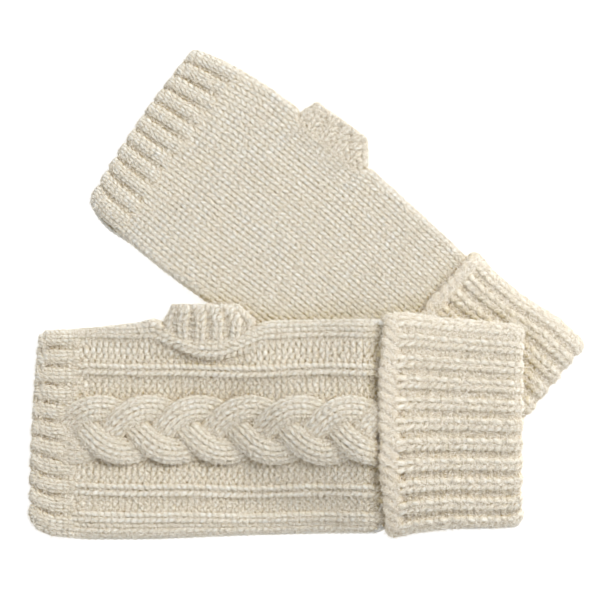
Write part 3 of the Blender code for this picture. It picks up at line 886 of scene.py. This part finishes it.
def painted_hollow_shade(tree, colour):
    """Painted shade in the colour: warm and darker between the loops, and darker still in the larger hollows, where
    ambient occlusion finds them. It stands for the shade there and for the warm light scattered back out of a fleece.
    """
    for distance, least, most, tint in PAINTED_HOLLOW_SHADES:
        open_share = add(tree, "ShaderNodeAmbientOcclusion", {"Distance": distance}, samples=3)
        share = add(tree, "ShaderNodeMapRange",
                    {"Value": open_share.outputs["AO"], "From Min": least, "From Max": most})
        deep = add(tree, "ShaderNodeMix", {"Factor": 1.0, "A": colour, "B": linear(tint)},
                   data_type="RGBA", blend_type="MULTIPLY")
        mixed = add(tree, "ShaderNodeMix",
                    {"Factor": share.outputs[0], "A": deep.outputs["Result"], "B": colour}, data_type="RGBA")
        colour = mixed.outputs["Result"]
    return colour


def blank_material(name):
    """A material with no nodes yet, and its tree."""
    material = bpy.data.materials.new(name)
    material.use_nodes = True
    material.node_tree.nodes.clear()
    return material, material.node_tree


def wool_yarn(name, light, dark):
    """Spun lambswool: matt and soft, with fine fibres that wind round each yarn, pale ones over hollows darkened with
    painted shade.

    Light goes a little way into the yarn, so its shadows are soft, and there is hardly any gloss; their warmth is
    painted shade in the colour.
    """
    material, tree = blank_material(name)
    place = add(tree, "ShaderNodeTexCoord").outputs["Object"]
    along = add(tree, "ShaderNodeAttribute", attribute_name="along").outputs["Fac"]
    around = add(tree, "ShaderNodeAttribute", attribute_name="around").outputs["Vector"]
    parts = add(tree, "ShaderNodeSeparateXYZ", {"Vector": around})
    angle = add(tree, "ShaderNodeMath", {0: parts.outputs["Y"], 1: parts.outputs["X"]}, operation="ARCTAN2")
    wound = add(tree, "ShaderNodeMath", {0: along, 1: 2.0 * math.pi / (PLY_TURN * MM), 2: angle.outputs[0]},
                operation="MULTIPLY_ADD")
    side = add(tree, "ShaderNodeMath", {0: wound.outputs[0]}, operation="COSINE")
    other = add(tree, "ShaderNodeMath", {0: wound.outputs[0]}, operation="SINE")
    step = add(tree, "ShaderNodeMath", {0: along, 1: STREAKS_PER_METRE}, operation="MULTIPLY")
    spun_place = add(tree, "ShaderNodeCombineXYZ",
                     {"X": step.outputs[0], "Y": side.outputs[0], "Z": other.outputs[0]})
    streak = add(tree, "ShaderNodeTexNoise",
                 {"Vector": spun_place.outputs[0], "Scale": STREAK_SCALE, "Detail": 3.0, "Roughness": 0.7})
    fibre = add(tree, "ShaderNodeTexNoise",
                {"Vector": place, "Scale": FIBRE_GRAIN, "Detail": 2.0, "Roughness": 0.7})
    both = add(tree, "ShaderNodeMath", {0: streak.outputs["Fac"], 1: fibre.outputs["Fac"]}, operation="ADD")
    groove = add(tree, "ShaderNodeMath", {0: side.outputs[0]}, operation="ABSOLUTE")
    deep = add(tree, "ShaderNodeMath", {0: groove.outputs[0], 1: 0.35}, operation="POWER")
    relief = add(tree, "ShaderNodeMath", {0: deep.outputs[0], 1: 0.55, 2: both.outputs[0]},
                 operation="MULTIPLY_ADD")
    shade = add(tree, "ShaderNodeMapRange", {"Value": both.outputs[0], "From Min": 0.72, "From Max": 1.28})
    colour = add(tree, "ShaderNodeMix", {"Factor": shade.outputs[0], "A": linear(dark), "B": linear(light)},
                 data_type="RGBA")
    bump = add(tree, "ShaderNodeBump", {"Height": relief.outputs[0], "Strength": 0.8, "Distance": 0.0004})
    # Painted shade of the hollows, multiplied into the base colour
    colour_with_painted_shade = painted_hollow_shade(tree, colour.outputs["Result"])
    shader = add(tree, "ShaderNodeBsdfPrincipled",
                 {"Base Color": colour_with_painted_shade, "Roughness": 0.95, "Normal": bump.outputs[0],
                  "Subsurface Weight": 0.7, "Subsurface Radius": (1.0, 1.0, 1.0), "Subsurface Scale": 0.0022,
                  "Sheen Weight": 0.3, "Sheen Roughness": 0.6, "Specular IOR Level": 0.1})
    add(tree, "ShaderNodeOutputMaterial", {"Surface": shader.outputs[0]})
    return material


def shade_painted_ground(name, light, dark):
    """The fabric between and under the loops: the same wool, matt, with an uneven grain, its colour a darker, warmer
    tan than the yarn's as painted shade for the gaps between the loops, where it shows.
    """
    material, tree = blank_material(name)
    place = add(tree, "ShaderNodeTexCoord").outputs["Object"]
    wander = add(tree, "ShaderNodeTexNoise", {"Vector": place, "Scale": GROUND_GRAIN, "Detail": 3.0})
    colour = add(tree, "ShaderNodeMix", {"Factor": wander.outputs["Fac"], "A": linear(dark), "B": linear(light)},
                 data_type="RGBA")
    bump = add(tree, "ShaderNodeBump", {"Height": wander.outputs["Fac"], "Strength": 0.5, "Distance": 0.0004})
    shader = add(tree, "ShaderNodeBsdfPrincipled",
                 {"Base Color": colour.outputs["Result"], "Roughness": 0.95, "Normal": bump.outputs[0],
                  "Sheen Weight": 0.2, "Specular IOR Level": 0.15})
    add(tree, "ShaderNodeOutputMaterial", {"Surface": shader.outputs[0]})
    return material


def loose_fibre(name, colour):
    """Single wool fibres: pale and matt, so together they read as a soft haze."""
    material, tree = blank_material(name)
    shader = add(tree, "ShaderNodeBsdfPrincipled",
                 {"Base Color": linear(colour), "Roughness": 0.9, "Specular IOR Level": 0.1})
    add(tree, "ShaderNodeOutputMaterial", {"Surface": shader.outputs[0]})
    return material


def shell_grid(surface, chart, along, lift):
    """Grid of points under the loops, following the chart's relief. The lift may differ along the piece."""
    across = np.linspace(0.0, chart.count, chart.count * GRID_STEPS_PER_WALE + 1)
    arc = chart.arcs(along, np.repeat(across[None, :], len(along), axis=0))
    u = np.repeat(np.asarray(along)[:, None], len(across), axis=1)
    return surface(u, arc, chart.rises(along, across) + np.broadcast_to(lift, along.shape)[:, None])


def panel_shell(node, surface, chart, along, under):
    """The shell under the loops of one panel."""
    outer = shell_grid(surface, chart, along, under)
    inner = shell_grid(surface, chart, along, under - SHELL_THICK)
    return shell(node + "_cloth", outer, inner, GROUND)


def finish_piece(cloth, node, flat, yarn):
    """Puts a shell and its yarn under the root body and hides the solid they stand for."""
    for piece in (cloth, *yarn):
        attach(piece, "root")
        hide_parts(node)


def flat_size(rows, half, extra=0.0, panels=1):
    """Width and length of a cut of one panel, or of two that make a tube."""
    u = np.linspace(rows[0].u, rows[-1].u, 50)
    return float(arc_length(rows, u, half).mean()) * panels, rows[-1].u - rows[0].u + extra


def make_hand(form, side, panel, chart, slot, rng, stop):
    """One hand panel, from its finger opening to where the cuff hides it."""
    node = f"{form.name}_{panel}"
    start, end = form.hand[0].u, form.hand[-1].u
    surface = panel_surface(form, form.hand, side)
    along = np.linspace(start, end, 80)
    under = np.where(along < start + form.rib.length, SHELL_UNDER_RIB, SHELL_UNDER)
    cloth = panel_shell(node, surface, chart, along, under)
    points, sides, kept = (LOOP_POINTS, YARN_SIDES, 0) if side > 0 else (LOW_LOOP_POINTS, LOW_YARN_SIDES, 3)
    courses = np.arange(start - 1.2, stop, COURSE)
    in_rib = courses < start + form.rib.length
    rib_rows = knit(surface, opening_chart(form), courses[in_rib], COURSE, rng, scallop=form.rib.scallop,
                    radius=RIB_YARN_RADIUS, points=points)
    rows = knit(surface, chart, courses[~in_rib], COURSE, rng, points=points)
    yarn = [spun(node + "_rib_yarn", [bared(form, rib_rows, kept)], WOOL, radius=RIB_YARN_RADIUS, sides=sides),
            spun(node + "_yarn", [bared(form, rows, kept)], WOOL, sides=sides)]
    if slot == "cable_knit":
        starts = np.arange(PLAIT_START - 11.0, PLAIT_END + 2.0, COURSE)
        surfaces = [strand_surface(strand) for strand in range(3)]
        strands = [knit(each, strand_chart(), starts, COURSE, rng, radius=STRAND_YARN_SINKS) for each in surfaces]
        yarn.append(spun(node + "_plait_yarn", strands, WOOL))
    if side > 0:
        density = FIBRES_PER_SQUARE_MM if form is LEFT else REAR_FIBRES_PER_SQUARE_MM
        yarn += [fuzzed(piece, density, SEED + k) for k, piece in enumerate(yarn)]
    if slot == "cable_knit":
        yarn.append(spun(node + "_plait_core_yarn", [strand_core(each) for each in surfaces], WOOL))
    finish_piece(cloth, node, flat_size(form.hand, HAND_HALF), yarn)


def twisted(surface, u, total, wide, deep, rng):
    """Centre lines of a twisted rope laid along one distance of a surface, from side to side."""
    arc = np.linspace(0.0, total, int(total / ROPE_POINT_STEP))
    knots = np.arange(0.0, total + ROPE_TURN, ROPE_TURN / 2.0)
    still = u + np.interp(arc, knots, rng.normal(0.0, ROPE_VARIES, len(knots)))
    arc = arc + np.interp(arc, knots, rng.normal(0.0, ROPE_VARIES, len(knots)))
    lines = []
    for ply in range(ROPE_PLIES):
        turn = -2.0 * math.pi * (arc / ROPE_TURN + ply / ROPE_PLIES)
        lines.append(surface(still + wide * np.sin(turn), arc, np.full(len(arc), ROPE_LIFT) + deep * np.cos(turn)))
    return np.stack(lines)


def make_cuff(form, side, panel, rng):
    """Half of the turned-up cuff, with the rope at its edge."""
    node = f"{form.name}_cuff_{panel}"
    rib = form.cuff_rib
    surface = cuff_surface(form, side)
    start, fold = form.cuff[0].u, form.cuff[-1].u
    nose = NOSE_LENGTH * math.pi / 2.0
    end = fold + nose
    chart = ribbed_chart(form.cuff, CUFF_HALF, CUFF_WALES, CUFF_RISE, rib.sinks, rib.knit_shares, round_sides=True)
    along = np.concatenate([np.linspace(start + 0.8, fold, 40), np.linspace(fold, end, 8)[1:]])
    cloth = panel_shell(node, surface, chart, along, SHELL_UNDER)
    points, sides, kept = (LOOP_POINTS, YARN_SIDES, (0, 0)) if side > 0 else (LOW_LOOP_POINTS, LOW_YARN_SIDES, (1, 4))
    rows = knit(surface, chart, np.arange(start + 7.5, end, CUFF_COURSE), CUFF_COURSE, rng, radius=CUFF_YARN_RADIUS,
                deep=CUFF_LOOP_DEEP, lean=CUFF_LOOP_LEAN, tuck=CUFF_TUCK, points=points)
    total = float(arc_length(form.cuff, np.array([start]), CUFF_HALF)[0])
    rope = twisted(surface, start + ROPE_IN, total, rib.rope_wide, rib.rope_deep, rng)
    yarn = [spun(node + "_yarn", [bared(form, rows, *kept)], WOOL, radius=CUFF_YARN_RADIUS, sides=sides),
            spun(node + "_edge_yarn", [rope], WOOL, radius=rib.rope_radius, sides=ROPE_SIDES)]
    if side > 0:
        yarn += [fuzzed(yarn[0], CUFF_FIBRES_PER_SQUARE_MM, SEED), fuzzed(yarn[1], EDGE_FIBRES_PER_SQUARE_MM, SEED)]
    finish_piece(cloth, node, flat_size(form.cuff, CUFF_HALF, nose), yarn)


def make_thumb(form, rng):
    """The ribbed thumb tube, upper and lower half."""
    node = f"{form.name}_thumb"
    rise, sink = form.thumb_rib
    chart = ribbed_chart(form.thumb, HAND_HALF, THUMB_WALES, rise, (sink, sink), (THUMB_KNIT_SHARE, THUMB_KNIT_SHARE),
                         RIB_SHOULDER)
    start, end = form.thumb[0].u, form.thumb[-1].u
    along = np.linspace(start + 2.0, end, 14)
    courses = np.arange(start + 1.0, end - 0.1, COURSE)
    surfaces = [panel_surface(form, form.thumb, side) for side in (1, -1)]
    outer, inner = [np.concatenate([shell_grid(surfaces[0], chart, along, under),
                                    shell_grid(surfaces[1], chart, along, under)[:, ::-1]], axis=1)
                    for under in (SHELL_UNDER, SHELL_UNDER - SHELL_THICK)]
    cloth = shell(node + "_cloth", outer, inner, GROUND)
    yarn = spun(node + "_yarn", [knit(each, chart, courses, COURSE, rng, towards=1.0) for each in surfaces], WOOL)
    finish_piece(cloth, node, flat_size(form.thumb, HAND_HALF, panels=2),
                 [yarn, fuzzed(yarn, FIBRES_PER_SQUARE_MM, SEED)])


def make_mittens():
    """Both mittens, from the lowest panel up."""
    rng = np.random.default_rng(SEED)
    make_hand(RIGHT, -1, "back", palm_chart(RIGHT), "plain_knit", rng, 200.0)
    make_hand(RIGHT, 1, "palm", palm_chart(RIGHT), "stockinette", rng, 158.0)
    make_cuff(RIGHT, -1, "back", rng)
    make_cuff(RIGHT, 1, "palm", rng)
    make_thumb(RIGHT, rng)
    make_hand(LEFT, -1, "palm", palm_chart(LEFT), "plain_knit", rng, 80.0)
    make_hand(LEFT, 1, "back", back_chart(LEFT), "cable_knit", rng, 41.0)
    make_cuff(LEFT, -1, "palm", rng)
    make_cuff(LEFT, 1, "back", rng)
    make_thumb(LEFT, rng)


def make_floor():
    """White paper ground, smooth and matt. It glows a little, as paper lit from all round does."""
    mesh = bpy.data.meshes.new("floor")
    corners = [(x * FLOOR_HALF, y * FLOOR_HALF, 0.0) for x, y in ((-1, -1), (1, -1), (1, 1), (-1, 1))]
    mesh.from_pydata(corners, [], [(0, 1, 2, 3)])
    floor = put("floor", mesh)
    floor.location.z = -FLOOR_DROP
    material, tree = blank_material("white paper ground")
    shader = add(tree, "ShaderNodeBsdfPrincipled",
                 {"Base Color": (FLOOR_GREY, FLOOR_GREY, FLOOR_GREY, 1.0), "Roughness": 1.0,
                  "Specular IOR Level": 0.0, "Emission Color": (1.0, 1.0, 1.0, 1.0),
                  "Emission Strength": FLOOR_GLOW})
    add(tree, "ShaderNodeOutputMaterial", {"Surface": shader.outputs[0]})
    mesh.materials.append(material)


def make_studio():
    """A square soft key light from the upper right of the picture, and an even white surround."""
    data = bpy.data.lights.new("key light", "AREA")
    data.size = KEY_SIZE
    data.energy = KEY_POWER
    lamp = put("key light", data)
    lamp.location = KEY_PLACE
    lamp.rotation_euler = (-Vector(KEY_PLACE)).to_track_quat("-Z", "Y").to_euler()
    world = bpy.data.worlds.new("white surround")
    world.use_nodes = True
    surround = world.node_tree.nodes["Background"]
    surround.inputs["Color"].default_value = (1.0, 1.0, 1.0, 1.0)
    surround.inputs["Strength"].default_value = SURROUND_STRENGTH
    bpy.context.scene.world = world
    bpy.context.scene.view_settings.view_transform = "Standard"


def make_camera():
    """Long lens straight over the mittens, framed as in the photo."""
    data = bpy.data.cameras.new("camera")
    data.lens = data.sensor_width * (CAMERA_HEIGHT - SHARP_HEIGHT) / VIEW_WIDTH
    camera = put("camera", data)
    camera.location = (*VIEW_CENTRE, CAMERA_HEIGHT)
    bpy.context.scene.camera = camera


YARN_TREE = yarn_tree()
FUZZ_TREE = fuzz_tree()
FUZZ = loose_fibre("loose wool fibre", "#F4EFE4")
WOOL = wool_yarn("cream lambswool yarn", "#FAF9F4", "#F5F2E7")
# The ground's darker, warmer tan is painted shade for the gaps between the loops
GROUND = shade_painted_ground("cream knitted wool ground", "#EADDB6", "#E0D1A6")

make_camera()
make_floor()
make_studio()
make_mittens()
